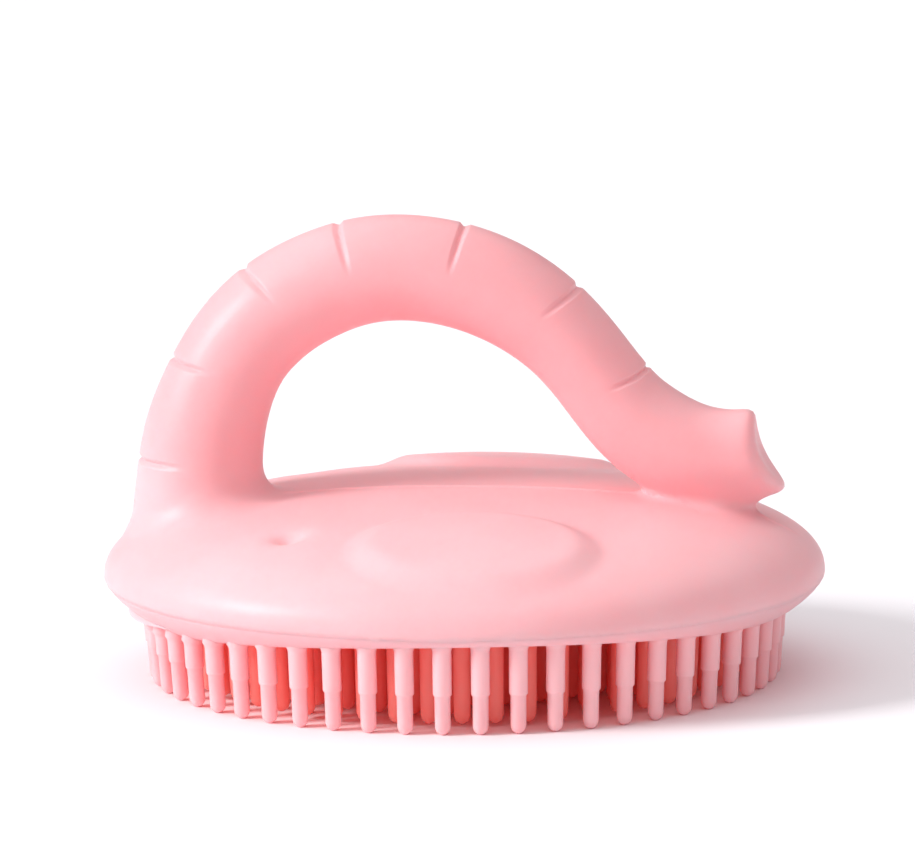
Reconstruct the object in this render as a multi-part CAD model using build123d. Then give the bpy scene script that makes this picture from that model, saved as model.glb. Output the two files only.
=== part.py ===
from build123d import *
import math
import os

# Scalp massager brush in the form of an elephant's head, in millimetres.
# X runs from the face (-X) to the trunk's tip (+X), Z is up, and Y = 0 is the plane of symmetry.
# The origin is on the ground, under the middle of the head, where the outer bristles stand.

# --- driving sizes: head ---
HEAD_LENGTH = 96.0       # along X, at the widest line
HEAD_WIDTH = 89.0        # along Y, at the widest line
GIRTH_Z = 13.8           # height of the widest line, where skin and bristle pad meet
DOME_RISE = 11.5         # from the widest line to the crown
SHOULDER = 6.5           # radius of the dome's edge
CHIN_RUN = 4.8           # the rounding under the widest line runs this far inwards
CHIN_DROP = 5.0          # and goes this deep
ARCH_X, ARCH_Z = 6.0, 12.0   # highest line of the arched underside
ARCH_SAG = 3.3           # how much the arch falls over ARCH_REACH

# --- driving sizes: walls ---
SKIN_WALL = 3.0          # silicone over the shell
SHELL_WALL = 2.2
MEMBRANE = 1.6           # silicone between bristles and plate
PLATE = 2.5
PLATE_TONGUE = 1.0       # how far the plate's edge runs into the silicone
FIT = 0.1                # room between pieces that lie in or on each other

# --- driving sizes: ears and eyes ---
EAR_X, EAR_Y = 3.1, 0.325 * HEAD_WIDTH
EAR_LONG, EAR_SHORT = 0.354 * HEAD_LENGTH, 0.288 * HEAD_WIDTH
EAR_RISE = 1.3
EYE_X, EYE_Y = -0.217 * HEAD_LENGTH, 0.242 * HEAD_WIDTH
EYE_WIDTH, EYE_DEPTH = 3.4, 0.8

# --- driving sizes: trunk handle ---
LOOP_TOP = 55.2          # height of the trunk's centreline at the top of the loop
ROOT_IN = 12.5           # the trunk leaves the face this far in from its end of the head
ROOT_RADIUS = 9.2
TRUNK_RADIUS = 7.1       # at the top of the loop
TIP_RADIUS = 5.4
TIP_IN = 6.8             # the tip stands this far in from the other end
TIP_UP = 5.7             # and this far above the crown
TIP_LEAN = 20.0          # the tip's face looks up by this angle
TIP_DISH, TIP_LIP = 1.6, 0.9
REST_IN = 18.0           # the trunk lies on the crown this far in
REST_LENGTH, REST_WIDTH = 17.0, 8.0
CORE_RADIUS = 3.0
FOOT_RADIUS = 4.0
REST_FOOT_RADIUS = 2.6

# --- driving sizes: bristles ---
BRISTLE_RADIUS = 1.25    # root half
TIP_BRISTLE_RADIUS = 1.05
INNER_BRISTLE_RADIUS = 1.15
RING_IN_X, RING_IN_Y = 6.4, 2.9     # the outer ring lies this far in from the ends and sides
RING_SHARES = [1, 0.877, 0.733, 0.589, 0.445, 0.3, 0.156]   # of the outer ring's radius
RING_COUNTS = [52, 52, 40, 32, 24, 16, 8]
STEP_Z = 5.4             # the outer bristles' step, where the free half starts
INNER_TIP_Z = 0.5        # the inner bristles end this much above the ground
TIP_SPREAD = 0.985       # tips stand on circles this share of the roots' circles
SPLIT_GAP = 0.15         # between the root half and the free half
ROOT_GAP = 0.08          # between the root half and the membrane

# --- driving sizes: screws ---
SCREW_RADIUS = 1.25
HEAD_FIT = 0.25          # radial room round a screw's head
HANDLE_HEAD_RADIUS, HANDLE_HEAD = 2.6, 1.6
HANDLE_SEAT = 0.6        # the handle screws' seats stand this far in from the shell
HANDLE_GRIP = 6.5        # length of thread in the foot
HOLE_END = 0.4           # a blind hole runs on this far past its screw
BASE_HEAD_RADIUS, BASE_HEAD = 2.1, 1.2
BASE_SCREW_X, BASE_SCREW_Y = 20.0, 16.0
BOSS_RADIUS = 3.2
BASE_COVER = 1.4         # shell left over a base screw's hole

HALF = HEAD_LENGTH / 2
SIDE = HEAD_WIDTH / HEAD_LENGTH
ARCH_REACH = HALF - CHIN_RUN
ARCH_RADIUS = (ARCH_REACH**2 + ARCH_SAG**2) / (2 * ARCH_SAG)
CROWN = GIRTH_Z + DOME_RISE
ROOT_X = ROOT_IN - HALF
TIP_X, TIP_Z = HALF - TIP_IN, CROWN + TIP_UP
REST_X = HALF - REST_IN
OUTER_RING = min(HALF - RING_IN_X, HEAD_WIDTH / 2 - RING_IN_Y)
FAR = 2 * HEAD_LENGTH    # longer than anything here, for cutting tools

# The head's pieces are drawn round in plan, as wide as they are long, and squeezed at the end.


def squeezed(shape):
    """A shape drawn round in plan, brought to the head's true width."""
    return scale(shape, by=(1, SIDE, 1))


def round_place(x, y, z=0.0):
    """A true place on the head, as it lies before the squeeze."""
    return Pos(x, y / SIDE, z)


def dome_arcs(inset=0.0):
    """The dome's two tangent arcs: reach, rise, shoulder radius, crown radius and where they join."""
    reach, rise = HALF - inset, DOME_RISE - inset
    shoulder = SHOULDER - inset / 2
    crown = (reach**2 + rise**2 - 2 * reach * shoulder) / (2 * (rise - shoulder))
    turn = math.acos((reach - shoulder) / (crown - shoulder))
    return reach, rise, shoulder, crown, turn


def dome_height(x, y, inset=0.0):
    """Height of the dome's surface over a true place, with the dome drawn in by inset."""
    reach, rise, shoulder, crown, turn = dome_arcs(inset)
    out = math.hypot(x, y / SIDE)
    if out <= crown * math.cos(turn):
        return GIRTH_Z + rise - crown + math.sqrt(crown**2 - out**2)
    return GIRTH_Z + math.sqrt(max(0.0, shoulder**2 - (out - reach + shoulder) ** 2))


def arch_height(x, above=0.0):
    """Height of the arched underside, or of a surface that far above it."""
    return ARCH_Z - ARCH_RADIUS + math.sqrt((ARCH_RADIUS + above) ** 2 - (x - ARCH_X) ** 2)


def head_form(inset=0.0):
    """The head without its trunk, drawn in by inset: crown and shoulder arcs above, a chin arc below."""
    reach, rise, shoulder, crown, turn = dome_arcs(inset)

    def on_shoulder(angle):
        return reach - shoulder + shoulder * math.cos(angle), GIRTH_Z + shoulder * math.sin(angle)

    def on_crown(angle):
        return crown * math.cos(angle), GIRTH_Z + rise - crown + crown * math.sin(angle)

    top = (0, GIRTH_Z + rise)
    chin = (reach - CHIN_RUN, GIRTH_Z - CHIN_DROP)
    floor = (reach - 2 * CHIN_RUN, GIRTH_Z - 1.7 * CHIN_DROP)
    with BuildSketch(Plane.XZ) as half:
        with BuildLine():
            ThreePointArc((reach, GIRTH_Z), on_shoulder(turn / 2), on_shoulder(turn))
            ThreePointArc(on_shoulder(turn), on_crown((turn + math.pi / 2) / 2), top)
            ThreePointArc(
                (reach, GIRTH_Z), (reach - 0.35 * CHIN_RUN, GIRTH_Z - 0.56 * CHIN_DROP), chin
            )
            Polyline(chin, floor, (0, floor[1]), top)
        make_face()
    return revolve(half.sketch, Axis.Z)


def upper_form(inset=0.0):
    """The part of the head form above the widest line."""
    return head_form(inset) & slab(GIRTH_Z, GIRTH_Z + 2 * DOME_RISE)


def under_arch(above=0.0):
    """Everything below the arched underside, or below a surface that far above it."""
    return Pos(ARCH_X, 0, ARCH_Z - ARCH_RADIUS) * Rot(X=90) * Cylinder(ARCH_RADIUS + above, FAR)


def slab(low, high):
    """All the space between two heights."""
    return Pos(0, 0, (low + high) / 2) * Box(FAR, FAR, high - low)


def post(x, y, radius, low, high):
    """An upright cylinder between two heights."""
    return Pos(x, y, (low + high) / 2) * Cylinder(radius, high - low)


def wide_post(x, y, radius, low, high):
    """A post at a true place that will be round once squeezed."""
    return round_place(x, y, low) * extrude(Ellipse(radius, radius / SIDE), high - low)


def trunk_stations():
    """Centre, direction and radius of the trunk's sections, from the face over the loop to the tip."""
    shares = [
        (0.048, 0.522), (0.147, 0.828), (0.321, 1), (0.466, 0.957),
        (0.58, 0.818), (0.672, 0.595), (0.75, 0.344),
    ]
    run, rise = TIP_X - ROOT_X, LOOP_TOP - CROWN
    loop = [(ROOT_X + along * run, CROWN + up * rise) for along, up in shares]
    start = [(ROOT_X, CROWN - 4.8), (ROOT_X + 0.5, CROWN + 3.5)]
    rest = [(REST_X - 2.4, CROWN + 5.9), (REST_X + 4.3, CROWN + 4.7), (TIP_X, TIP_Z)]
    centres = start + loop + rest
    radii = [
        ROOT_RADIUS, 8.3, 7.6, 7.4, TRUNK_RADIUS, 6.95, 6.7, 6.35, 6.5, 6.7, 6.0, TIP_RADIUS,
    ]
    points = [Vector(x, 0, z) for x, z in centres]
    tip = Vector(math.cos(math.radians(TIP_LEAN)), 0, math.sin(math.radians(TIP_LEAN)))
    path = Spline(*points, tangents=[Vector(0, 0, 1), tip])
    ways = [path.tangent_at(path.param_at_point(p)) for p in points]
    return list(zip(points, ways, radii))


def along_trunk(stations, radius=None):
    """A smooth bar through the stations, with their radii or one given radius, before the squeeze."""
    rings = [
        Plane(origin=p, x_dir=(0, 1, 0), z_dir=way) * Ellipse((radius or r) / SIDE, radius or r)
        for p, way, r in stations
    ]
    return loft(rings)


def trunk():
    """The trunk with its dished tip, and the saddle by which it rests on the crown."""
    stations = trunk_stations()
    tip, way, radius = stations[-1]
    mouth = radius - TIP_LIP
    ball = (mouth**2 + TIP_DISH**2) / (2 * TIP_DISH)
    dish = Pos(*(tip + way * (ball - TIP_DISH))) * Sphere(ball)
    low = dome_height(REST_X, 0, SKIN_WALL)
    saddle = Pos(REST_X, 0, low) * extrude(SlotOverall(REST_LENGTH, REST_WIDTH), TIP_Z - low)
    return along_trunk(stations) - dish + saddle


def core_form(room=0.0):
    """The rod in the trunk and its two feet, or, with room, the hollow they lie in."""
    stations = trunk_stations()[1:-1]
    rod = along_trunk(stations, CORE_RADIUS + room)
    left = wide_post(ROOT_X, 0, FOOT_RADIUS + room, GIRTH_Z, stations[0][0].Z + CORE_RADIUS)
    right = wide_post(REST_X, 0, REST_FOOT_RADIUS + room, GIRTH_Z, TIP_Z)
    return rod + left + right


def handle_core():
    """The rod in the trunk, with its feet cut to the shell and drilled for the screws."""
    core = core_form() - head_form(SKIN_WALL)
    for x in (ROOT_X, REST_X):
        core -= wide_post(x, 0, SCREW_RADIUS + FIT, GIRTH_Z, handle_seat(x) + handle_reach(x))
    return squeezed(core)


def handle_seat(x):
    """Height of the flat seat under the shell for a handle screw's head."""
    edge = abs(x) + HANDLE_HEAD_RADIUS + HEAD_FIT
    return dome_height(edge, 0, SKIN_WALL + SHELL_WALL) - HANDLE_SEAT


def handle_reach(x):
    """How far a handle screw's hole runs above its seat."""
    return dome_height(x, 0, SKIN_WALL) - handle_seat(x) + HANDLE_GRIP


def handle_screws():
    """The two screws that pull the handle core down on the shell."""
    screws = []
    for x in (ROOT_X, REST_X):
        seat = handle_seat(x)
        head = post(x, 0, HANDLE_HEAD_RADIUS, seat - HANDLE_HEAD, seat)
        screws.append(head + post(x, 0, SCREW_RADIUS, seat, seat + handle_reach(x) - HOLE_END))
    return screws


def base_screw_places():
    """Middles of the four base screws."""
    return [(x, y) for x in (-BASE_SCREW_X, BASE_SCREW_X) for y in (-BASE_SCREW_Y, BASE_SCREW_Y)]


def plate_low():
    """How far the plate's lower face lies above the arched underside."""
    return MEMBRANE + FIT


def plate_high():
    """How far the plate's upper face lies above the arched underside."""
    return MEMBRANE + FIT + PLATE


def base_seat(x):
    """Height on which a base screw's head bears, with the head flush in the arched plate."""
    inner_edge = x - math.copysign(BASE_HEAD_RADIUS + HEAD_FIT, x)
    return arch_height(inner_edge, plate_low()) + BASE_HEAD


def base_hole_top():
    """Height to which the base screws' holes run up in the shell's bosses."""
    return dome_height(BASE_SCREW_X, BASE_SCREW_Y, SKIN_WALL + FIT) - BASE_COVER


def base_screws():
    """The four screws that hold the plate to the shell's bosses."""
    screws = []
    for x, y in base_screw_places():
        head = post(x, y, BASE_HEAD_RADIUS, base_seat(x) - BASE_HEAD, base_seat(x))
        screws.append(head + post(x, y, SCREW_RADIUS, base_seat(x), base_hole_top() - HOLE_END))
    return screws


def base_plate():
    """The stiff arched plate behind the bristle pad."""
    layer = under_arch(plate_high()) - under_arch(plate_low())
    plate = head_form(SKIN_WALL - PLATE_TONGUE + FIT) & layer
    for x, y in base_screw_places():
        plate -= wide_post(x, y, BASE_HEAD_RADIUS + HEAD_FIT, 0, base_seat(x))
        plate -= wide_post(x, y, SCREW_RADIUS + FIT, 0, 2 * GIRTH_Z)
    return squeezed(plate)


def plate_groove():
    """The groove in the silicone that takes the plate's edge."""
    layer = under_arch(plate_high() + FIT) - under_arch(MEMBRANE)
    return head_form(SKIN_WALL - PLATE_TONGUE) & layer


def inner_shell():
    """The stiff dome under the skin, with bosses for the base screws and seats for the handle's."""
    wall_in = SKIN_WALL + FIT + SHELL_WALL
    shell = head_form(SKIN_WALL + FIT) - head_form(wall_in)
    for x, y in base_screw_places():
        shell += wide_post(x, y, BOSS_RADIUS, ARCH_Z, dome_height(x, y, wall_in) + SHELL_WALL / 3)
    for x in (ROOT_X, REST_X):
        seat_top = dome_height(x, 0, wall_in) + SHELL_WALL / 3
        shell += wide_post(x, 0, HANDLE_HEAD_RADIUS + HEAD_FIT, handle_seat(x), seat_top)
    shell -= under_arch(plate_high() + FIT)
    for x, y in base_screw_places():
        shell -= wide_post(x, y, SCREW_RADIUS + FIT, 0, base_hole_top())
    for x in (ROOT_X, REST_X):
        shell -= wide_post(x, 0, SCREW_RADIUS + FIT, 0, GIRTH_Z + 2 * DOME_RISE)
    return squeezed(shell)


def ears():
    """The two raised oval ear pads."""
    raised = upper_form(-EAR_RISE)
    outline = extrude(Ellipse(EAR_LONG / 2, EAR_SHORT / 2 / SIDE), 3 * GIRTH_Z)
    return [raised & (round_place(EAR_X, side * EAR_Y) * outline) for side in (-1, 1)]


def eyes():
    """The two shallow round eye dimples, as tools to cut with."""
    ball = (EYE_WIDTH**2 / 4 + EYE_DEPTH**2) / (2 * EYE_DEPTH)
    middle = dome_height(EYE_X, EYE_Y) + ball - EYE_DEPTH
    return [round_place(EYE_X, side * EYE_Y, middle) * Sphere(ball) for side in (-1, 1)]


def head_skin():
    """The silicone overmould: dome, ears and trunk, hollow for the shell, rod and plate."""
    skin = upper_form() + trunk()
    for ear in ears():
        skin += ear
    for eye in eyes():
        skin -= eye
    return squeezed(skin - head_form(SKIN_WALL) - core_form(FIT) - plate_groove())


def bristle_pad():
    """The lower moulding: lip band and the membrane that the bristles grow from."""
    lower = (head_form() & slab(0, GIRTH_Z)) - under_arch()
    hollow = head_form(SKIN_WALL) - under_arch(MEMBRANE)
    return squeezed(lower - hollow - plate_groove())


def bristle(x, y, radius, tip_radius, tip_z):
    """One bristle's root half and free half, split at the step; it leans in towards the middle."""
    root = Vector(x, y, arch_height(x))
    end = Vector(x * TIP_SPREAD, y * TIP_SPREAD, tip_z + tip_radius)
    lean = (root - end).normalized()
    base = Plane(origin=end, z_dir=lean)
    length = (root - end).length + radius
    bar = base * extrude(Circle(radius), length)
    upper = bar & under_arch(-ROOT_GAP) & slab(STEP_Z + SPLIT_GAP, GIRTH_Z)
    free = base * (extrude(Circle(tip_radius), length) + Sphere(tip_radius)) & slab(-1, STEP_Z)
    return upper, free


def ring_of_bristles(index):
    """All bristles of one ring: the root halves and the free halves."""
    count, radius = RING_COUNTS[index], RING_SHARES[index] * OUTER_RING
    offset = 0.0 if index % 2 == 0 else 0.5
    stepped = index == 0
    thick = BRISTLE_RADIUS if stepped else INNER_BRISTLE_RADIUS
    thin = TIP_BRISTLE_RADIUS if stepped else INNER_BRISTLE_RADIUS
    turns = [2 * math.pi * (k + offset) / count for k in range(count)]
    pairs = [
        bristle(radius * math.sin(t), radius * math.cos(t), thick, thin, 0 if stepped else INNER_TIP_Z)
        for t in turns
    ]
    return [p[0] for p in pairs], [p[1] for p in pairs]


def save(name, shapes):
    """Write one node: a single solid, or a group of separate solids."""
    shapes = shapes if isinstance(shapes, list) else [shapes]
    solids = [solid for shape in shapes for solid in shape.solids()]
    export_step(solids[0] if len(solids) == 1 else Compound(children=solids), f"parts/{name}.step")


os.makedirs("parts", exist_ok=True)
save("handle_core", handle_core())
save("base_plate", base_plate())
save("head_skin", head_skin())
save("bristle_pad", bristle_pad())
save("inner_shell", inner_shell())
save("handle_screws", handle_screws())
save("base_screws", base_screws())
for index in range(len(RING_COUNTS)):
    roots, tips = ring_of_bristles(index)
    save(f"ring_{index + 1}_roots", roots)
    save(f"ring_{index + 1}_tips", tips)
centre_root, centre_tip = bristle(0, 0, INNER_BRISTLE_RADIUS, INNER_BRISTLE_RADIUS, INNER_TIP_Z)
save("centre_root", centre_root)
save("centre_tip", centre_tip)
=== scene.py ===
import math

import bpy
import numpy as np
from mathutils import Matrix, Vector


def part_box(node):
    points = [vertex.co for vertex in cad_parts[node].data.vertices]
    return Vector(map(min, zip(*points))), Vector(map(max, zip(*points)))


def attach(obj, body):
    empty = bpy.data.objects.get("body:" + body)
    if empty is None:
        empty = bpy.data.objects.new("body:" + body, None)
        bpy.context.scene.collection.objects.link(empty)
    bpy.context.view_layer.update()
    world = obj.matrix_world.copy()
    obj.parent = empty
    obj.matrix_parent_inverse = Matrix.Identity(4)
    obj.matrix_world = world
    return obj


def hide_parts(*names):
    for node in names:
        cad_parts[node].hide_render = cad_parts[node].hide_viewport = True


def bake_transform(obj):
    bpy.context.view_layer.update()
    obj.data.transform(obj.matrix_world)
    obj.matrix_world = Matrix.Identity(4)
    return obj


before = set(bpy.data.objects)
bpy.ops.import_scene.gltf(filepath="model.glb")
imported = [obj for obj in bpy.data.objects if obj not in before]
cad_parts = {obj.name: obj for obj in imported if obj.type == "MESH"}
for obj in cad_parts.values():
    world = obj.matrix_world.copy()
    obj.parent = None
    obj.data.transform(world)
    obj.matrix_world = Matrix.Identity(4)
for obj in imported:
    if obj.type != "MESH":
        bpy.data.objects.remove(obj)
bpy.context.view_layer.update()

bl_info = {
    "name": "Elephant Scalp Brush",
    "version": (1, 0, 0),
    "blender": (4, 5, 0),
    "location": "View3D > Sidebar > Scalp Brush",
    "description": "Builds a silicone scalp massager brush with a trunk handle and its studio",
    "category": "Add Mesh",
}

MM = 0.001
HEAD, TIPS = "head", "bristle_tips"      # the two moving bodies

# The head's plan and height come from the bristle pad, whose top is the head's widest line.
pad_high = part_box("bristle_pad")[1]
HALF = pad_high[0] / MM                  # reach along X
SIDE = pad_high[1] / pad_high[0]         # width over length
GIRTH_Z = pad_high[2] / MM
TRUNK_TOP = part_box("head_skin")[1][2] / MM - 0.5
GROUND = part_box("ring_1_tips")[0][2] / MM

# Underside: an arch along X.
ARCH_X, ARCH_Z = 6.0, 12.0               # the arch's top line
ARCH_SAG, ARCH_REACH = 3.3, 43.2         # its fall at that distance from the top
ARCH_RADIUS = (ARCH_REACH**2 + ARCH_SAG**2) / (2 * ARCH_SAG)
MEMBRANE = 1.6           # thickness of the sheet that carries the bristles
CHIN_DROP, CHIN_POWER = 5.0, 1.6         # how the head draws in below its widest line
LIP_ROUND = 0.7          # rounding of the lip's lower edge
LIP_STEP = 0.1           # the lip lies this far in from the skin
LIP_TUCK = 0.6           # and this much further where the skin laps over it
RIM_WIDTH = 3.0          # width of the rim on which the skin's shell stands

# Bristles: circles on which their roots stand, how many on each, and their sizes.
RING_RADII = (41.6, 36.5, 30.5, 24.5, 18.5, 12.5, 6.5)
RING_COUNTS = (52, 52, 40, 32, 24, 16, 8)
STEP_Z = 5.4             # height of the outer bristles' step
INNER_TIP_Z = 0.5        # how much higher the inner tips end
TIP_SPREAD = 0.985       # how far out the tips stand, against the roots
TAPER = 0.97             # tip radius over root radius on the inner bristles
ROOT_SUNK = 1.4          # how far the roots run up into the membrane
OUTER_SIDES, INNER_SIDES = 14, 10


class BrushSizes(bpy.types.PropertyGroup):
    """Sizes a maker would change, in millimetres."""

    dome_rise: bpy.props.FloatProperty(
        name="Dome rise", description="Crown above the widest line, in mm", default=11.5, unit="NONE")
    dome_power: bpy.props.FloatProperty(
        name="Dome power", description="2 is an ellipse, more is squarer", default=2.3)
    chin_run: bpy.props.FloatProperty(
        name="Chin run", description="How far the rounding below runs in, in mm", default=5.6)
    ear_rise: bpy.props.FloatProperty(
        name="Ear rise", description="How far the ear pads stand out, in mm", default=1.35)
    eye_depth: bpy.props.FloatProperty(
        name="Eye depth", description="Depth of the eye dimples, in mm", default=1.4)
    crease_depth: bpy.props.FloatProperty(
        name="Crease depth", description="Depth of the folds on the trunk, in mm", default=0.5)
    root_blend: bpy.props.FloatProperty(
        name="Root blend", description="Softness where the trunk leaves the face, in mm", default=4.5)
    rest_blend: bpy.props.FloatProperty(
        name="Rest blend", description="Softness where the trunk lies on the crown, in mm", default=5.0)
    grain: bpy.props.FloatProperty(
        name="Mesh grain", description="Spacing of the skin's mesh, in mm", default=0.68)
    bristle_radius: bpy.props.FloatProperty(
        name="Bristle radius", description="Root half of an outer bristle, in mm", default=1.25)
    tip_radius: bpy.props.FloatProperty(
        name="Tip radius", description="Free half of an outer bristle, in mm", default=1.05)
    inner_radius: bpy.props.FloatProperty(
        name="Inner bristle radius", description="Bristles inside the outer ring, in mm", default=1.15)


def linear(code):
    """An sRGB hex colour as linear red, green and blue."""
    parts = [int(code[i:i + 2], 16) / 255 for i in (0, 2, 4)]
    return tuple(c / 12.92 if c <= 0.04045 else ((c + 0.055) / 1.055) ** 2.4 for c in parts)


class BrushColours(bpy.types.PropertyGroup):
    """Colours of the finishes, linear."""

    skin: bpy.props.FloatVectorProperty(
        name="Skin", description="Silicone of the head and the trunk", subtype="COLOR", size=3,
        default=linear("FFBDC2"))
    # the silicone's own colour, drawn a little paler than the skin's: painted light that lifts the bristles
    # the lamps leave dim
    bristles: bpy.props.FloatVectorProperty(
        name="Bristles", description="Silicone of the pad and the outer bristles", subtype="COLOR", size=3,
        default=linear("FFC4C8"))
    # painted shade: a deep coral drawn inside the outer ring, for the dim red light that has passed through
    # several bristles
    inner: bpy.props.FloatVectorProperty(
        name="Inner bristles", description="Silicone seen through several bristles", subtype="COLOR", size=3,
        default=linear("FF968C"))


def add_node(tree, kind, settings=None, links=None, **values):
    """Adds a node: settings are its properties, values its sockets' numbers, links its inputs."""
    node = tree.nodes.new(kind)
    for key, value in (settings or {}).items():
        setattr(node, key, value)
    for key, value in values.items():
        node.inputs[key.replace("_", " ")].default_value = value
    for key, source in (links or {}).items():
        tree.links.new(source, node.inputs[key])
    return node


# --- materials ---


def new_material(name):
    """An empty node material and its tree."""
    material = bpy.data.materials.new(name)
    material.use_nodes = True
    material.node_tree.nodes.clear()
    return material, material.node_tree


PIGMENT_SPREAD = 0.94                # green and blue of the deeper pigment shade, against the paler
TRUNK_SHADE = 1.0, 0.89, 0.89, 1.0    # painted shade: what the trunk keeps of each colour
TRUNK_SHADE_UP = 24, 34                     # mm over the floor, where that painted shade comes in
INNER_SHADE_OUT = 38.8, 40.6               # mm from the middle, where the painted coral shade ends
INNER_SHADE_UP = 12.5, 13.5                # mm over the floor, where it ends upwards
MOTTLE = 14                          # mm, size of the pigment's clouds
BLAST = 0.25                         # mm, grain of the blasted mould as drawn
GLOSS_SPREAD = 0.03                  # roughness either way, along with the mottling
SILICONE_IOR = 1.41
RED_REACH = 1.0, 0.3, 0.25           # how far each colour soaks, against red


def moulded_silicone(name, skin, inner, roughness, weight, soak):
    """Pigmented platinum-cured silicone from a blasted steel mould: a satin skin without metal or
    coat, light that soaks in a millimetre or two and comes out redder, and very slight mottling
    of the pigment. weight is the share of light that soaks in, soak how far red light goes, in mm.
    Under the head, inside the outer ring, the colour is inner, a deep coral: painted shade for the dim red
    light that has gone through several bristles before it comes out. High up, on the trunk, the colour is
    painted a little deeper as shade."""
    material, tree = new_material(name)
    red, green, blue = skin
    deep = red, green * PIGMENT_SPREAD, blue * PIGMENT_SPREAD
    place = add_node(tree, "ShaderNodeTexCoord")
    mottle = add_node(tree, "ShaderNodeTexNoise", links={"Vector": place.outputs["Object"]},
                      Scale=1 / (MOTTLE * MM), Detail=2.0, Roughness=0.5)
    shade = add_node(tree, "ShaderNodeValToRGB", links={"Fac": mottle.outputs["Fac"]})
    shade.color_ramp.elements[0].position = 0.35
    shade.color_ramp.elements[1].position = 0.65
    shade.color_ramp.elements[0].color = (*deep, 1)
    shade.color_ramp.elements[1].color = (*skin, 1)
    # painted shade: inside the outer ring and low under the head the colour is inner, a deep coral, for light
    # that has gone through several bristles
    flat = add_node(tree, "ShaderNodeVectorMath", {"operation": "MULTIPLY"},
                    {"Vector": place.outputs["Object"]})
    flat.inputs[1].default_value = (1, 1, 0)
    out = add_node(tree, "ShaderNodeVectorMath", {"operation": "LENGTH"},
                   {"Vector": flat.outputs["Vector"]})
    high = add_node(tree, "ShaderNodeSeparateXYZ", links={"Vector": place.outputs["Object"]})
    outside = add_node(tree, "ShaderNodeMapRange", {"interpolation_type": "SMOOTHSTEP"},
                       {"Value": out.outputs["Value"]},
                       From_Min=INNER_SHADE_OUT[0] * MM, From_Max=INNER_SHADE_OUT[1] * MM)
    above = add_node(tree, "ShaderNodeMapRange", {"interpolation_type": "SMOOTHSTEP"},
                     {"Value": high.outputs["Z"]}, From_Min=INNER_SHADE_UP[0] * MM, From_Max=INNER_SHADE_UP[1] * MM)
    lit = add_node(tree, "ShaderNodeMath", {"operation": "MAXIMUM"})
    tree.links.new(outside.outputs["Result"], lit.inputs[0])
    tree.links.new(above.outputs["Result"], lit.inputs[1])
    colour = add_node(tree, "ShaderNodeMix", {"data_type": "RGBA"}, {"Factor": lit.outputs["Value"]})
    colour.inputs[6].default_value = (*inner, 1)
    tree.links.new(shade.outputs["Color"], colour.inputs[7])
    # painted shade: high up, on the trunk, the colour is drawn a little deeper
    over = add_node(tree, "ShaderNodeMapRange", {"interpolation_type": "SMOOTHSTEP"},
                    {"Value": high.outputs["Z"]}, From_Min=TRUNK_SHADE_UP[0] * MM, From_Max=TRUNK_SHADE_UP[1] * MM)
    trunk_shaded = add_node(tree, "ShaderNodeMix", {"data_type": "RGBA", "blend_type": "MULTIPLY"},
                      {"Factor": over.outputs["Result"]})
    tree.links.new(colour.outputs[2], trunk_shaded.inputs[6])
    trunk_shaded.inputs[7].default_value = TRUNK_SHADE
    # blasted mould texture, really about 0.05 mm; drawn coarser so that it shows
    blast = add_node(tree, "ShaderNodeTexNoise", links={"Vector": place.outputs["Object"]},
                     Scale=1 / (BLAST * MM), Detail=2.0, Roughness=0.6)
    bump = add_node(tree, "ShaderNodeBump", links={"Height": blast.outputs["Fac"]},
                    Strength=0.12, Distance=0.02 * MM)
    gloss = add_node(tree, "ShaderNodeMapRange", links={"Value": mottle.outputs["Fac"]})
    gloss.inputs["To Min"].default_value = roughness - GLOSS_SPREAD
    gloss.inputs["To Max"].default_value = roughness + GLOSS_SPREAD
    shader = add_node(tree, "ShaderNodeBsdfPrincipled",
                      links={"Base Color": trunk_shaded.outputs[2], "Normal": bump.outputs["Normal"],
                             "Roughness": gloss.outputs["Result"]},
                      IOR=SILICONE_IOR, Subsurface_Weight=weight, Subsurface_Scale=soak * MM)
    shader.inputs["Subsurface Radius"].default_value = RED_REACH
    add_node(tree, "ShaderNodeOutputMaterial", links={"Surface": shader.outputs["BSDF"]})
    return material


def moulded_polypropylene():
    """Natural polypropylene: milky, slightly waxy, with a fine moulded grain."""
    material, tree = new_material("moulded_polypropylene")
    place = add_node(tree, "ShaderNodeTexCoord")
    cloud = add_node(tree, "ShaderNodeTexNoise", links={"Vector": place.outputs["Object"]},
                     Scale=1 / (6 * MM), Detail=3.0)
    shade = add_node(tree, "ShaderNodeValToRGB", links={"Fac": cloud.outputs["Fac"]})
    shade.color_ramp.elements[0].color = (*linear("D9D4CC"), 1)
    shade.color_ramp.elements[1].color = (*linear("ECE8E1"), 1)
    bump = add_node(tree, "ShaderNodeBump", links={"Height": cloud.outputs["Fac"]},
                    Strength=0.2, Distance=0.03 * MM)
    shader = add_node(tree, "ShaderNodeBsdfPrincipled",
                      links={"Base Color": shade.outputs["Color"], "Normal": bump.outputs["Normal"]},
                      Roughness=0.45, IOR=1.49)
    add_node(tree, "ShaderNodeOutputMaterial", links={"Surface": shader.outputs["BSDF"]})
    return material


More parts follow.
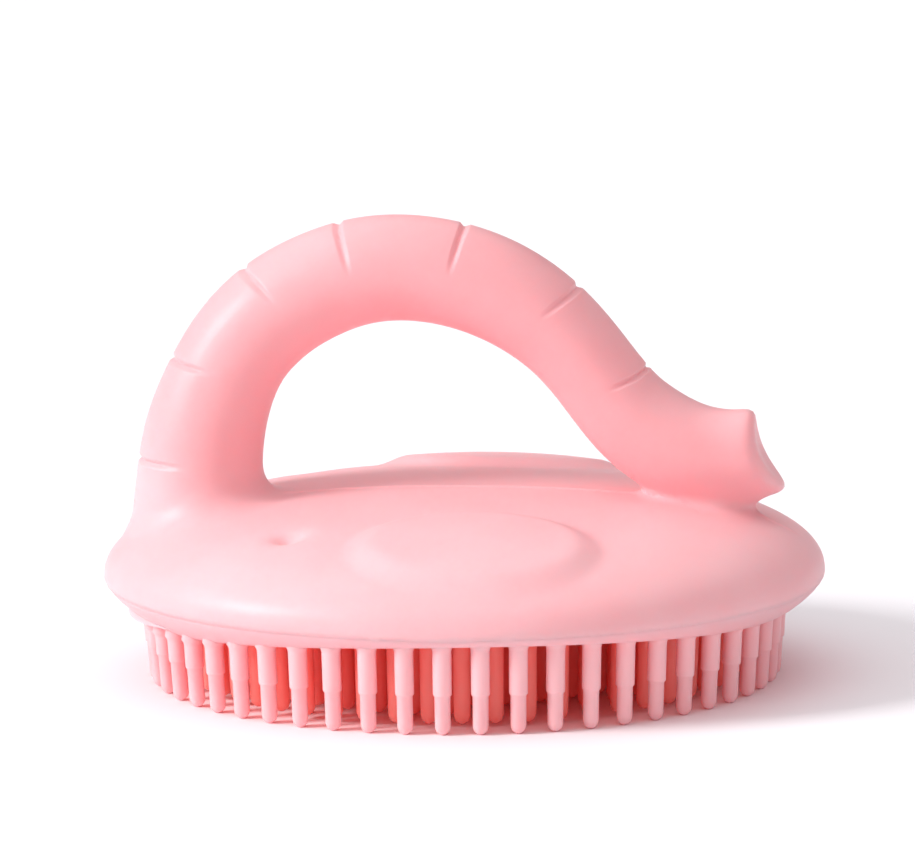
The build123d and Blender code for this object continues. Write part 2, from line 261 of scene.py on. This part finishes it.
def turned_steel():
    """Stainless screw steel: bright, with fine rings left by turning."""
    material, tree = new_material("turned_stainless_steel")
    place = add_node(tree, "ShaderNodeTexCoord")
    rings = add_node(tree, "ShaderNodeTexWave", {"wave_type": "BANDS", "bands_direction": "Z"},
                     {"Vector": place.outputs["Object"]}, Scale=1 / (0.5 * MM), Distortion=0.4)
    bump = add_node(tree, "ShaderNodeBump", links={"Height": rings.outputs["Fac"]},
                    Strength=0.3, Distance=0.03 * MM)
    shader = add_node(tree, "ShaderNodeBsdfPrincipled", links={"Normal": bump.outputs["Normal"]},
                      Metallic=1.0, Roughness=0.28)
    shader.inputs["Base Color"].default_value = (*linear("C9CACC"), 1)
    add_node(tree, "ShaderNodeOutputMaterial", links={"Surface": shader.outputs["BSDF"]})
    return material


# --- meshes ---


def new_piece(name, points, faces, material):
    """A smooth-shaded mesh object from arrays of points in mm and of faces."""
    mesh = bpy.data.meshes.new(name)
    mesh.from_pydata((np.asarray(points) * MM).tolist(), [], faces)
    mesh.polygons.foreach_set("use_smooth", np.ones(len(mesh.polygons), bool))
    mesh.materials.append(material)
    mesh.validate()
    mesh.set_sharp_from_angle(angle=math.radians(50))
    mesh.update()
    piece = bpy.data.objects.new(name, mesh)
    bpy.context.scene.collection.objects.link(piece)
    return piece


def wrapped_grid(rows, columns):
    """Quads of a grid that closes on itself along its columns."""
    row, column = np.meshgrid(np.arange(rows - 1), np.arange(columns), indexing="ij")
    right = (column + 1) % columns
    corners = (row * columns + column, row * columns + right,
               (row + 1) * columns + right, (row + 1) * columns + column)
    return np.stack(corners, -1).reshape(-1, 4)


def smooth_step(low, high, value):
    """0 below low, 1 above high, and a smooth S between."""
    t = np.clip((value - low) / (high - low), 0, 1)
    return t * t * (3 - 2 * t)


def soft_min(a, b, width):
    """The lesser of two fields, rounded where they come within width of each other."""
    near = np.clip(1 - np.abs(a - b) / width, 0, 1)
    return np.minimum(a, b) - near * near * width / 4


def soft_max(a, b, width):
    """The greater of two fields, rounded where they come within width of each other."""
    return -soft_min(-a, -b, width)


# --- the head's skin ---

# The trunk's centreline in the plane of symmetry, from inside the face over the loop to its tip:
# along X, height below the loop's top, and radius.
TRUNK = (
    (-35.3, 42.3, 9.2), (-35.1, 33.4, 8.3), (-34.5, 29.1, 8.1), (-31.8, 21.3, 7.6),
    (-26.7, 14.2, 7.4), (-20.3, 10.0, 7.2), (-13.2, 7.5, 7.1), (-4.4, 7.3, 7.0),
    (4.8, 10.0, 6.85), (12.8, 15.5, 6.5), (19.0, 22.9, 6.35), (23.7, 28.2, 6.6),
    (29.7, 31.5, 6.6), (35.3, 32.1, 6.0), (41.1, 31.2, 6.0), (45.3, 29.6, 6.6),
)
# Folds across the outer side of the trunk: where each crosses it, along X and in height.
FOLDS = (
    (-43.3, 29.3), (-37.9, 42.6), (-29.6, 55.0), (-16.6, 61.2), (0.6, 60.9), (15.6, 52.4), (24.4, 41.4),
)
FOLD_WIDTH = 1.1
FOLD_SPREAD = 0.05, 0.7                          # outwardness at which a fold starts and is full
TIP_TOP, TIP_FOOT = (39.3, 35.9), (43.8, 25.6)   # the ends of the tip's slanted mouth
MOUTH_HOLLOW = 1.9                               # how far the mouth's middle is drawn in
MOUTH_EDGE, DISH_EDGE = 2.4, 1.0                 # softness of the mouth's rim and the dish's
DISH_RADIUS, DISH_DEPTH = 7.0, 1.8               # the ball that hollows the mouth
EAR_X, EAR_Y, EAR_LONG, EAR_SHORT = 3.4, 29.5, 35.0, 26.4
EAR_EDGE = 3.4                                   # width of the slope round an ear pad
EAR_FLAT = 0.7                                   # share of an ear's rise that is a flat pad
EYE_X, EYE_Y, EYE_WIDTH = -21.4, 23.0, 5.0
PARTING_RISE, PARTING_WIDTH = 0.18, 0.35         # the mould's parting line along the crown
OPEN_BLEND = 2.6         # softness where trunk and dome meet at a wide angle
FACE_X = -42, -34        # where the root's softness comes in along X
LOOP_X = -20, 10         # where it goes out again
REST_X = 28, 37          # where the softness of the trunk's rest comes in
SKIN_END = 12.9          # the skin laps over the lip down to this height
HEM = 0.3                # softness of the skin's lower edge


def natural_spline(knots, values, where):
    """A curve through values at knots whose second derivative is continuous and zero at its ends."""
    gaps = np.diff(knots)
    size = len(knots)
    matrix, right = np.eye(size), np.zeros((size, values.shape[1]))
    for i in range(1, size - 1):
        matrix[i, i - 1:i + 2] = gaps[i - 1], 2 * (gaps[i - 1] + gaps[i]), gaps[i]
        right[i] = 6 * ((values[i + 1] - values[i]) / gaps[i] - (values[i] - values[i - 1]) / gaps[i - 1])
    bend = np.linalg.solve(matrix, right)
    k = np.clip(np.searchsorted(knots, where) - 1, 0, size - 2)
    h, a, b = gaps[k][:, None], (knots[k + 1] - where)[:, None], (where - knots[k])[:, None]
    return (bend[k] * a**3 + bend[k + 1] * b**3) / (6 * h) + (
        (values[k] / h - bend[k] * h / 6) * a + (values[k + 1] / h - bend[k + 1] * h / 6) * b)


class TrunkLine:
    """The trunk's centreline sampled evenly: place, direction and radius by length along it."""

    def __init__(self, step=0.1):
        points = np.array([(x, TRUNK_TOP - down, r) for x, down, r in TRUNK])
        knots = np.concatenate(([0], np.cumsum(np.linalg.norm(np.diff(points[:, :2], axis=0), axis=1))))
        fine = natural_spline(knots, points, np.linspace(0, knots[-1], 4000))
        run = np.concatenate(([0], np.cumsum(np.linalg.norm(np.diff(fine[:, :2], axis=0), axis=1))))
        self.length = np.arange(0, run[-1], step)
        self.x, self.z, self.radius = (np.interp(self.length, run, fine[:, i]) for i in range(3))
        self.way_x, self.way_z = np.gradient(self.x, step), np.gradient(self.z, step)
        self.folds = self.nearest(*np.array(FOLDS).T)

    def nearest(self, x, z):
        """Length along the line of the point nearest to each place in its plane."""
        found = np.empty(x.shape)
        for start in range(0, x.size, 20000):
            part = slice(start, start + 20000)
            away = (x[part, None] - self.x[::8]) ** 2 + (z[part, None] - self.z[::8]) ** 2
            found[part] = self.length[::8][np.argmin(away, 1)]
        for _ in range(3):
            found += (x - self.at("x", found)) * self.at("way_x", found) * 0.8
            found += (z - self.at("z", found)) * self.at("way_z", found) * 0.8
        return np.clip(found, 0, self.length[-1])

    def at(self, what, length):
        return np.interp(length, self.length, getattr(self, what))


def dome_field(sizes, x, y, z):
    """Signed distance, nearly, to the dome: a superellipse, out^p + up^p = 1, turned about Z and
    narrowed in Y, with two raised oval ear pads and two dimples for eyes."""
    power = sizes.dome_power
    out = np.hypot(x, y / SIDE) / HALF + 1e-9
    up = np.maximum(z - GIRTH_Z, 0) / sizes.dome_rise + 1e-9
    value = out**power + up**power
    level = value ** (1 / power)
    steepness = np.hypot(out ** (power - 1) / HALF, up ** (power - 1) / sizes.dome_rise)
    slope = steepness * value ** (1 / power - 1)
    field = (level - 1) / slope
    chin = (out * HALF - chin_reach(sizes, z)) * 0.9
    field = np.where(z < GIRTH_Z, chin, field)
    ear = np.hypot((x - EAR_X) / (EAR_LONG / 2), (np.abs(y) - EAR_Y) / (EAR_SHORT / 2))
    pad = smooth_step(0, EAR_EDGE, (1 - ear) * EAR_SHORT / 2)
    inside = EAR_FLAT * pad + (1 - EAR_FLAT) * np.clip(1 - ear**2, 0, 1)
    eye = np.hypot(x - EYE_X, np.abs(y) - EYE_Y) / (EYE_WIDTH / 2)
    dimple = np.exp(-((eye / 0.75) ** 2))
    parting = PARTING_RISE * np.exp(-((y / PARTING_WIDTH) ** 2)) * smooth_step(GIRTH_Z + 4, GIRTH_Z + 7, z)
    return field - sizes.ear_rise * inside + sizes.eye_depth * dimple - parting


def trunk_field(sizes, line, x, y, z):
    """Signed distance, nearly, to the trunk: a round bar along its line, notched by folds that
    fade down its sides, and ended by a hollow slanted mouth."""
    length = line.nearest(x, z)
    across_x, across_z = x - line.at("x", length), z - line.at("z", length)
    in_plane = -across_x * line.at("way_z", length) + across_z * line.at("way_x", length)
    off = np.sqrt(across_x**2 + across_z**2 + y**2)
    outward = in_plane / np.maximum(off, 1e-6)
    depth = np.zeros(x.shape)
    for place in line.folds:
        notch = np.clip(1 - 2 * np.abs(length - place) / FOLD_WIDTH, 0, 1)
        depth += notch * smooth_step(*FOLD_SPREAD, outward)
    bar = off - line.at("radius", length) + sizes.crease_depth * depth
    top, foot = np.array(TIP_TOP), np.array(TIP_FOOT)
    half = np.linalg.norm(foot - top) / 2
    radius = (half**2 + MOUTH_HOLLOW**2) / (2 * MOUTH_HOLLOW)
    face = np.array([-(foot - top)[1], (foot - top)[0]]) / (2 * half)
    centre = (top + foot) / 2 + face * (radius - MOUTH_HOLLOW)
    mouth = radius - np.hypot(x - centre[0], z - centre[1])
    middle = (top + foot) / 2 + face * (DISH_RADIUS - DISH_DEPTH)
    dish = DISH_RADIUS - np.sqrt((x - middle[0]) ** 2 + y**2 + (z - middle[1]) ** 2)
    return soft_max(soft_max(bar, mouth, MOUTH_EDGE), dish, DISH_EDGE)


def skin_field(sizes, line, x, y, z):
    """The head's skin: the softly joined dome and trunk, cut flat at the skin's lower edge."""
    width = OPEN_BLEND + (sizes.root_blend - OPEN_BLEND) * smooth_step(*FACE_X, x)
    width += (OPEN_BLEND - sizes.root_blend) * smooth_step(*LOOP_X, x)
    width += (sizes.rest_blend - OPEN_BLEND) * smooth_step(*REST_X, x)
    both = soft_min(dome_field(sizes, x, y, z), trunk_field(sizes, line, x, y, z), width)
    return soft_max(both, SKIN_END - z, HEM)


def surface_net(value, low, step):
    """Quads on the zero level of a field on a grid: one point in each cell that the level passes,
    at the mean of its crossings, and one quad across each grid edge that the level cuts."""
    inside = value < 0
    shape = np.array(value.shape)
    total = np.zeros((*(shape - 1), 3))
    count = np.zeros(shape - 1)
    corner = np.indices(shape).astype(float)
    for axis in range(3):
        a = [slice(None)] * 3
        b = [slice(None)] * 3
        a[axis], b[axis] = slice(0, -1), slice(1, None)
        a, b = tuple(a), tuple(b)
        cut = inside[a] != inside[b]
        share = np.where(cut, value[a] / np.where(cut, value[a] - value[b], 1), 0)
        others = [i for i in range(3) if i != axis]
        for shift in ((0, 0), (0, 1), (1, 0), (1, 1)):
            pick = [slice(None)] * 3
            for other, s in zip(others, shift):
                pick[other] = slice(s, shape[other] - 1 + s)
            pick = tuple(pick)
            mask = cut[pick]
            count += mask
            for i in range(3):
                place = corner[i][a][pick] + (share[pick] if i == axis else 0)
                total[..., i] += np.where(mask, place, 0)
    used = count > 0
    number = np.full(used.shape, -1)
    number[used] = np.arange(used.sum())
    points = total[used] / count[used][:, None] * step + low
    faces = []
    for axis in range(3):
        a = [slice(None)] * 3
        b = [slice(None)] * 3
        a[axis], b[axis] = slice(0, -1), slice(1, None)
        cut = np.argwhere(inside[tuple(a)] != inside[tuple(b)])
        u, v = (axis + 1) % 3, (axis + 2) % 3
        cut = cut[(cut[:, u] > 0) & (cut[:, v] > 0)]
        step_u, step_v = np.eye(3, dtype=int)[u], np.eye(3, dtype=int)[v]
        ring = [cut - step_u - step_v, cut - step_v, cut, cut - step_u]
        quad = np.stack([number[tuple(cell.T)] for cell in ring], -1)
        outward = inside[tuple(cut.T)]
        faces.append(np.where(outward[:, None], quad, quad[:, ::-1]))
    return points, np.concatenate(faces)


def settle(field, points, rounds=4, reach=0.01):
    """Moves points on to the field's zero level, by Newton steps along its slope."""
    for _ in range(rounds):
        value = field(*points.T)
        slope = np.stack([
            (field(*(points + reach * axis).T) - value) / reach for axis in np.eye(3)
        ], -1)
        move = -value[:, None] * slope / np.maximum((slope**2).sum(1), 0.2)[:, None]
        points = points + np.clip(move, -0.6, 0.6)
    return points


def relaxed(points, faces, rounds=2):
    """Points moved to the mean of their neighbours, which evens out the net."""
    for _ in range(rounds):
        total, count = np.zeros(points.shape), np.zeros(len(points))
        for i in range(4):
            a, b = faces[:, i], faces[:, (i + 1) % 4]
            np.add.at(total, a, points[b])
            np.add.at(total, b, points[a])
            np.add.at(count, a, 1)
            np.add.at(count, b, 1)
        points = points * 0.4 + total / count[:, None] * 0.6
    return points


def split_near(points, faces, near):
    """Each quad with all corners near a detail becomes four, and its neighbours fans of triangles."""
    fans = [face for face in faces if len(face) != 4]
    faces = np.array([face for face in faces if len(face) == 4])
    chosen = near[faces].all(1)
    edges = np.stack([faces[chosen], np.roll(faces[chosen], -1, 1)], -1).reshape(-1, 2)
    key = np.unique(np.sort(edges, 1), axis=0)
    code = key[:, 0] * len(points) + key[:, 1]
    middle = (points[key[:, 0]] + points[key[:, 1]]) / 2

    def halfway(a, b):
        want = np.minimum(a, b) * len(points) + np.maximum(a, b)
        where = np.clip(np.searchsorted(code, want), 0, len(code) - 1)
        return np.where(code[where] == want, len(points) + where, -1)

    inner = faces[chosen]
    centre = points[inner].mean(1)
    start = len(points) + len(middle)
    hub = start + np.arange(len(inner))
    mids = np.stack([halfway(inner[:, i], inner[:, (i + 1) % 4]) for i in range(4)], -1)
    small = [np.stack([inner[:, i], mids[:, i], hub, mids[:, i - 1]], -1) for i in range(4)]
    rest = faces[~chosen]
    mids = np.stack([halfway(rest[:, i], rest[:, (i + 1) % 4]) for i in range(4)], -1)
    touched = (mids >= 0).any(1)
    kept = rest[~touched].tolist()
    for quad, mid in zip(rest[touched].tolist(), mids[touched].tolist()):
        fans.append([p for pair in zip(quad, mid) for p in pair if p >= 0])
    everything = np.concatenate([points, middle, centre])
    return everything, np.concatenate(small).tolist() + kept + fans


def head_skin_surface(sizes):
    """Points and faces of the head's skin, on the zero level of skin_field."""
    line = TrunkLine()
    step = sizes.grain
    low = np.array([-HALF - 2 * step, -HALF * SIDE - 2 * step, SKIN_END - 2.3 * step])
    high = np.array([HALF, HALF * SIDE, TRUNK_TOP + 1]) + 2 * step
    counts = np.ceil((high - low) / step).astype(int) + 1
    axes = [low[i] + step * np.arange(counts[i]) for i in range(3)]
    grid_x, grid_z = np.meshgrid(axes[0], axes[2], indexing="ij")
    value = np.empty(counts)
    flat = (grid_x.ravel(), grid_z.ravel())
    for j, y in enumerate(axes[1]):
        sheet = skin_field(sizes, line, flat[0], np.full(flat[0].shape, y), flat[1])
        value[:, j, :] = sheet.reshape(grid_x.shape)
    points, faces = surface_net(value, low, step)

    def field(x, y, z):
        return skin_field(sizes, line, x, y, z)

    points = settle(field, relaxed(settle(field, points), faces))
    for reach in (2.2, 1.1):
        length = line.nearest(points[:, 0], points[:, 2])
        off_fold = np.min([np.abs(length - place) for place in line.folds], 0)
        in_plane = np.hypot(points[:, 0] - line.at("x", length), points[:, 2] - line.at("z", length))
        off_bar = np.hypot(in_plane, points[:, 1]) - line.at("radius", length)
        on_fold = (off_fold < reach) & (np.abs(off_bar) < 1)
        on_parting = (np.abs(points[:, 1]) < reach / 2) & (np.abs(dome_field(sizes, *points.T)) < 0.3)
        points, faces = split_near(points, faces, on_fold | (on_parting & (points[:, 2] > GIRTH_Z + 3)))
        points = settle(field, points, 2)
    return points, faces


# --- bristle pad ---


def arch_height(x, above=0.0):
    """Height of the arched underside: a circle's arc along X."""
    return ARCH_Z - ARCH_RADIUS + np.sqrt((ARCH_RADIUS + above) ** 2 - (x - ARCH_X) ** 2)


def chin_reach(sizes, z):
    """How far out the chin is at a height: widest at the top, drawn in by a power of the drop."""
    drop = np.clip((GIRTH_Z - z) / CHIN_DROP, 0, None)
    return HALF - sizes.chin_run * drop**CHIN_POWER


def pad_surface(sizes, turns=360):
    """The pad as a closed section carried round the head: out along the arched underside, round
    the lip's edge, up the chin to the widest line, and back in over the rim and the membrane."""
    angle = np.arange(turns) * 2 * np.pi / turns
    cos, sin = np.cos(angle), np.sin(angle) * SIDE
    low, high = np.full(turns, HALF - 2 * sizes.chin_run), np.full(turns, HALF)
    for _ in range(40):
        middle = (low + high) / 2
        within = middle < chin_reach(sizes, arch_height(middle * cos))
        low, high = np.where(within, middle, low), np.where(within, high, middle)
    edge, edge_z = low, arch_height(low * cos)

    rows = []

    def add(out, z):
        rows.append(np.stack([out * cos, out * sin, z], -1))

    for share in np.linspace(0, 1, 14)[1:]:
        out = share * (edge - LIP_ROUND)
        add(out, arch_height(out * cos))
    start_out, start_z = out, arch_height(out * cos)
    end_z = edge_z + LIP_ROUND
    end_out = chin_reach(sizes, end_z) - LIP_STEP
    for t in np.linspace(0, 1, 8)[1:]:
        add((1 - t) ** 2 * start_out + 2 * t * (1 - t) * edge + t * t * end_out,
            (1 - t) ** 2 * start_z + 2 * t * (1 - t) * edge_z + t * t * end_z)
    for t in np.linspace(0, 1, 12)[1:]:
        z = end_z + (GIRTH_Z - end_z) * t
        add(chin_reach(sizes, z) - LIP_STEP - LIP_TUCK * smooth_step(SKIN_END, GIRTH_Z, z), z)
    add(np.full(turns, HALF - RIM_WIDTH), np.full(turns, GIRTH_Z))
    rim_foot = np.minimum(arch_height((HALF - RIM_WIDTH) * cos, MEMBRANE), GIRTH_Z - 0.01)
    add(np.full(turns, HALF - RIM_WIDTH - 0.2), rim_foot)
    for share in np.linspace(1, 0, 8)[1:-1]:
        out = share * (HALF - RIM_WIDTH - 0.2) * np.ones(turns)
        add(out, arch_height(out * cos, MEMBRANE))
    points = np.concatenate(rows)
    faces = wrapped_grid(len(rows), turns)[:, ::-1].tolist()
    first, last = len(points), len(points) + 1
    points = np.concatenate([points, [[0, 0, arch_height(0.0)], [0, 0, arch_height(0.0, MEMBRANE)]]])
    ring = np.arange(turns)
    after = (ring + 1) % turns
    end = (len(rows) - 1) * turns
    faces += np.stack([np.full(turns, first), ring, after], -1)[:, ::-1].tolist()
    faces += np.stack([end + ring, np.full(turns, last), end + after], -1)[:, ::-1].tolist()
    return points, faces


# --- bristles ---


def bristle_profile(sizes, stepped):
    """Radius along a bristle in three stretches: the flared root, by mm below the pad; the step, by
    height over the floor; and the round end, by mm above the tip."""
    thick = sizes.bristle_radius if stepped else sizes.inner_radius
    thin = sizes.tip_radius if stepped else sizes.inner_radius * TAPER
    root = [(-ROOT_SUNK, thick), (0.0, thick + 0.3), (0.25, thick + 0.1), (0.7, thick)]
    if stepped:
        step = [(STEP_Z + 0.1, thick), (STEP_Z - 0.05, thick - 0.04), (STEP_Z - 0.22, thin)]
        bend = np.radians([0, 30, 60, 80])
    else:
        step = [(STEP_Z, thick)]
        bend = np.radians([0, 40, 70])
    end = [(thin * (1 - math.sin(a)), thin * math.cos(a)) for a in bend]
    return root, step, end


def bristle_ring_surface(sizes, index, sides):
    """All bristles of one ring: roots at (r sin t, r cos t), with t in even steps and every second ring
    turned by half a step."""
    count, radius = RING_COUNTS[index], RING_RADII[index]
    stepped = index == 0
    turn = 2 * np.pi * (np.arange(count) + (0 if index % 2 == 0 else 0.5)) / count
    root = np.stack([radius * np.sin(turn), radius * np.cos(turn)], -1)
    return bristle_field_surface(sizes, root, stepped, sides)


def bristle_field_surface(sizes, root, stepped, sides):
    """Bristles at the given root places: the profile turned about each bristle's leaning axis,
    point = root + axis * down + radius * (first cos phi + second sin phi), closed by two poles."""
    count = len(root)
    top = arch_height(root[:, 0])
    tip_z = GROUND + (0.0 if stepped else INNER_TIP_Z)
    root3 = np.column_stack([root, top])
    tip3 = np.column_stack([root * TIP_SPREAD, np.full(count, tip_z)])
    axis = tip3 - root3
    long = np.linalg.norm(axis, axis=1)
    axis /= long[:, None]
    first = np.cross(axis, [0.0, 1.0, 0.0])
    first /= np.linalg.norm(first, axis=1)[:, None]
    second = np.cross(axis, first)
    head, step, end = bristle_profile(sizes, stepped)
    share, radii = [], []
    for down, r in head:
        share.append(down + 0 * long)
        radii.append(r)
    for z, r in step:
        share.append((top - z) / (top - tip_z) * long)
        radii.append(r)
    for up, r in end:
        share.append(long - up)
        radii.append(r)
    down = np.stack(share, 1)
    radii = np.array(radii)
    phi = np.arange(sides) * 2 * np.pi / sides
    around = first[:, None, :] * np.cos(phi)[None, :, None] + second[:, None, :] * np.sin(phi)[None, :, None]
    centre = root3[:, None, :] + axis[:, None, :] * down[:, :, None]
    grid = centre[:, :, None, :] + around[:, None, :, :] * radii[None, :, None, None]
    rows = len(radii)
    each = rows * sides + 2
    poles = np.stack([root3 - axis * ROOT_SUNK, tip3], 1)
    points = np.concatenate([grid.reshape(count, -1, 3), poles], 1).reshape(-1, 3)
    quads = wrapped_grid(rows, sides)
    ring = np.arange(sides)
    after = (ring + 1) % sides
    last = (rows - 1) * sides
    cap_top = np.stack([np.full(sides, rows * sides), after, ring], -1)
    cap_end = np.stack([last + ring, last + after, np.full(sides, rows * sides + 1)], -1)
    shift = (np.arange(count) * each)[:, None, None]
    faces = (quads[None] + shift).reshape(-1, 4).tolist()
    faces += (np.concatenate([cap_top, cap_end])[None] + shift).reshape(-1, 3).tolist()
    return points, faces


# --- operators ---


def silicone_skin():
    colours = bpy.context.scene.brush_colours
    return bpy.data.materials.get("moulded_silicone_skin") or moulded_silicone(
        "moulded_silicone_skin", colours.skin, colours.inner, roughness=0.42, weight=0.6, soak=2.5)


def silicone_bristles():
    colours = bpy.context.scene.brush_colours
    return bpy.data.materials.get("moulded_silicone_bristles") or moulded_silicone(
        "moulded_silicone_bristles", colours.bristles, colours.inner, roughness=0.42, weight=0.35, soak=1.2)


class BRUSH_OT_head_skin(bpy.types.Operator):
    """Build the silicone skin: dome, ears, eyes and trunk handle"""

    bl_idname = "brush.head_skin"
    bl_label = "Head Skin"

    def execute(self, context):
        piece = new_piece("silicone_head", *head_skin_surface(context.scene.brush_sizes), silicone_skin())
        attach(piece, HEAD)
        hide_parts("head_skin")
        return {"FINISHED"}


class BRUSH_OT_bristle_pad(bpy.types.Operator):
    """Build the lower moulding: lip band and membrane"""

    bl_idname = "brush.bristle_pad"
    bl_label = "Bristle Pad"

    def execute(self, context):
        piece = new_piece("silicone_bristle_pad", *pad_surface(context.scene.brush_sizes), silicone_skin())
        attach(piece, HEAD)
        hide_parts("bristle_pad")
        return {"FINISHED"}


class BRUSH_OT_bristles(bpy.types.Operator):
    """Build the rings of bristles, which lean in from the pad to their tips"""

    bl_idname = "brush.bristles"
    bl_label = "Bristles"

    def execute(self, context):
        sizes = context.scene.brush_sizes
        start = (0, 0, arch_height(ARCH_REACH) * MM)
        end = (0, 0, (GROUND + INNER_TIP_Z) * MM)
        for index in range(len(RING_RADII)):
            surface = bristle_ring_surface(sizes, index, OUTER_SIDES if index < 2 else INNER_SIDES)
            self.finish(f"bristle_ring_{index + 1}", surface, start, end,
                        f"ring_{index + 1}_roots", f"ring_{index + 1}_tips")
        surface = bristle_field_surface(sizes, np.zeros((1, 2)), False, INNER_SIDES)
        self.finish("centre_bristle", surface, start, end, "centre_root", "centre_tip")
        return {"FINISHED"}

    def finish(self, name, surface, start, end, *nodes):
        piece = new_piece(name, *surface, silicone_bristles())
        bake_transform(piece)
        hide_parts(*nodes)


class BRUSH_OT_stiff_parts(bpy.types.Operator):
    """Finish the stiff pieces inside: shell, plate, handle core and screws"""

    bl_idname = "brush.stiff_parts"
    bl_label = "Stiff Parts"

    def execute(self, context):
        finishes = {
            moulded_polypropylene(): ("inner_shell", "base_plate", "handle_core"),
            turned_steel(): ("handle_screws", "base_screws"),
        }
        for material, nodes in finishes.items():
            for node in nodes:
                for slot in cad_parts[node].material_slots:
                    slot.material = material
        return {"FINISHED"}


# --- stage ---

CAMERA_DISTANCE = 2.0                # m, from the point the camera is aimed at
VIEW_WIDTH = 0.122                   # m, seen across the frame at that distance
AIM_RIGHT, AIM_UP = -0.00109, 0.03216   # m, from the origin to that point
AZIMUTH, ELEVATION, ROLL = 4.3, 10.5, 0.6   # degrees
FLOOR_REACH = 40.0                   # m, far enough that a low camera sees no edge
WORLD_STRENGTH = 0.36
BOUNCES = 16
FILL_AIM = Vector((0, 0, 0.03))      # m, the point the area light faces


class BRUSH_OT_stage(bpy.types.Operator):
    """Build the pale floor, the soft studio light and the camera"""

    bl_idname = "brush.stage"
    bl_label = "Studio"

    def execute(self, context):
        # pale rubber passes light on many times before it is lost, most of all between the bristles
        context.scene.cycles.max_bounces = BOUNCES
        context.scene.cycles.diffuse_bounces = BOUNCES
        self.floor()
        self.lights(context)
        self.camera(context)
        return {"FINISHED"}

    def floor(self):
        mesh = bpy.data.meshes.new("studio_floor")
        reach = FLOOR_REACH
        corners = [(-reach, -reach, 0), (reach, -reach, 0), (reach, reach, 0), (-reach, reach, 0)]
        mesh.from_pydata(corners, [], [(0, 1, 2, 3)])
        floor = bpy.data.objects.new("studio_floor", mesh)
        bpy.context.scene.collection.objects.link(floor)
        material, tree = new_material("white_paper_sweep")
        shader = add_node(tree, "ShaderNodeBsdfPrincipled", Roughness=0.9)
        shader.inputs["Base Color"].default_value = (*linear("F6F4F7"), 1)
        shader.inputs["Specular IOR Level"].default_value = 0.2
        add_node(tree, "ShaderNodeOutputMaterial", links={"Surface": shader.outputs["BSDF"]})
        mesh.materials.append(material)

    def lights(self, context):
        world = bpy.data.worlds.new("studio_world")
        world.use_nodes = True
        back = world.node_tree.nodes["Background"]
        back.inputs["Color"].default_value = (*linear("FFFCFF"), 1)
        back.inputs["Strength"].default_value = WORLD_STRENGTH
        context.scene.world = world
        self.sun("key_light", (-0.66, -0.24, 0.38), 20, 2.7, "FFFFFF")
        self.sun("overhead_light", (-0.15, 0.0, 1.0), 100, 1.4, "FFFFFF")
        self.area("front_fill", (0.10, -0.9, 0.10), 0.6, 0.7, "FFF8F6")

    def sun(self, name, place, spread, power, colour):
        data = bpy.data.lights.new(name, "SUN")
        data.angle = math.radians(spread)
        data.energy = power
        data.color = linear(colour)
        lamp = bpy.data.objects.new(name, data)
        lamp.rotation_euler = (-Vector(place)).to_track_quat("-Z", "Y").to_euler()
        bpy.context.scene.collection.objects.link(lamp)

    def area(self, name, place, size, power, colour):
        data = bpy.data.lights.new(name, "AREA")
        data.shape = "DISK"
        data.size = size
        data.energy = power
        data.color = linear(colour)
        lamp = bpy.data.objects.new(name, data)
        lamp.location = place
        aim = FILL_AIM - Vector(place)
        lamp.rotation_euler = aim.to_track_quat("-Z", "Y").to_euler()
        bpy.context.scene.collection.objects.link(lamp)

    def camera(self, context):
        turn, tilt, roll = (math.radians(a) for a in (AZIMUTH, ELEVATION, ROLL))
        forward = Vector((-math.sin(turn) * math.cos(tilt), math.cos(turn) * math.cos(tilt), -math.sin(tilt)))
        level = Vector((math.cos(turn), math.sin(turn), 0))
        up = level.cross(forward)
        right = level * math.cos(roll) - up * math.sin(roll)
        top = level * math.sin(roll) + up * math.cos(roll)
        place = right * AIM_RIGHT + top * AIM_UP - forward * CAMERA_DISTANCE
        data = bpy.data.cameras.new("camera")
        data.sensor_width = 36.0
        data.lens = data.sensor_width * CAMERA_DISTANCE / VIEW_WIDTH
        data.clip_start = 0.01
        camera = bpy.data.objects.new("camera", data)
        turned = Matrix((right, top, -forward)).transposed().to_4x4()
        camera.matrix_world = Matrix.Translation(place) @ turned
        context.scene.collection.objects.link(camera)
        context.scene.camera = camera
        context.scene.view_settings.view_transform = "Standard"


class BRUSH_PT_panel(bpy.types.Panel):
    """Sidebar panel that lists the brush's pieces and sizes"""

    bl_idname = "BRUSH_PT_panel"
    bl_label = "Scalp Brush"
    bl_space_type = "VIEW_3D"
    bl_region_type = "UI"
    bl_category = "Scalp Brush"

    def draw(self, context):
        for name in BrushSizes.__annotations__:
            self.layout.prop(context.scene.brush_sizes, name)
        for name in BrushColours.__annotations__:
            self.layout.prop(context.scene.brush_colours, name)
        for operator in OPERATORS:
            self.layout.operator(operator.bl_idname)


OPERATORS = (
    BRUSH_OT_head_skin, BRUSH_OT_bristle_pad, BRUSH_OT_bristles, BRUSH_OT_stiff_parts, BRUSH_OT_stage,
)
CLASSES = (BrushSizes, BrushColours, *OPERATORS, BRUSH_PT_panel)


def register():
    for cls in CLASSES:
        bpy.utils.register_class(cls)
    bpy.types.Scene.brush_sizes = bpy.props.PointerProperty(type=BrushSizes)
    bpy.types.Scene.brush_colours = bpy.props.PointerProperty(type=BrushColours)


def unregister():
    del bpy.types.Scene.brush_sizes
    del bpy.types.Scene.brush_colours
    for cls in reversed(CLASSES):
        bpy.utils.unregister_class(cls)


def main():
    register()
    for operator in OPERATORS:
        group, name = operator.bl_idname.split(".")
        getattr(getattr(bpy.ops, group), name)()


if __name__ == "__main__":
    main()
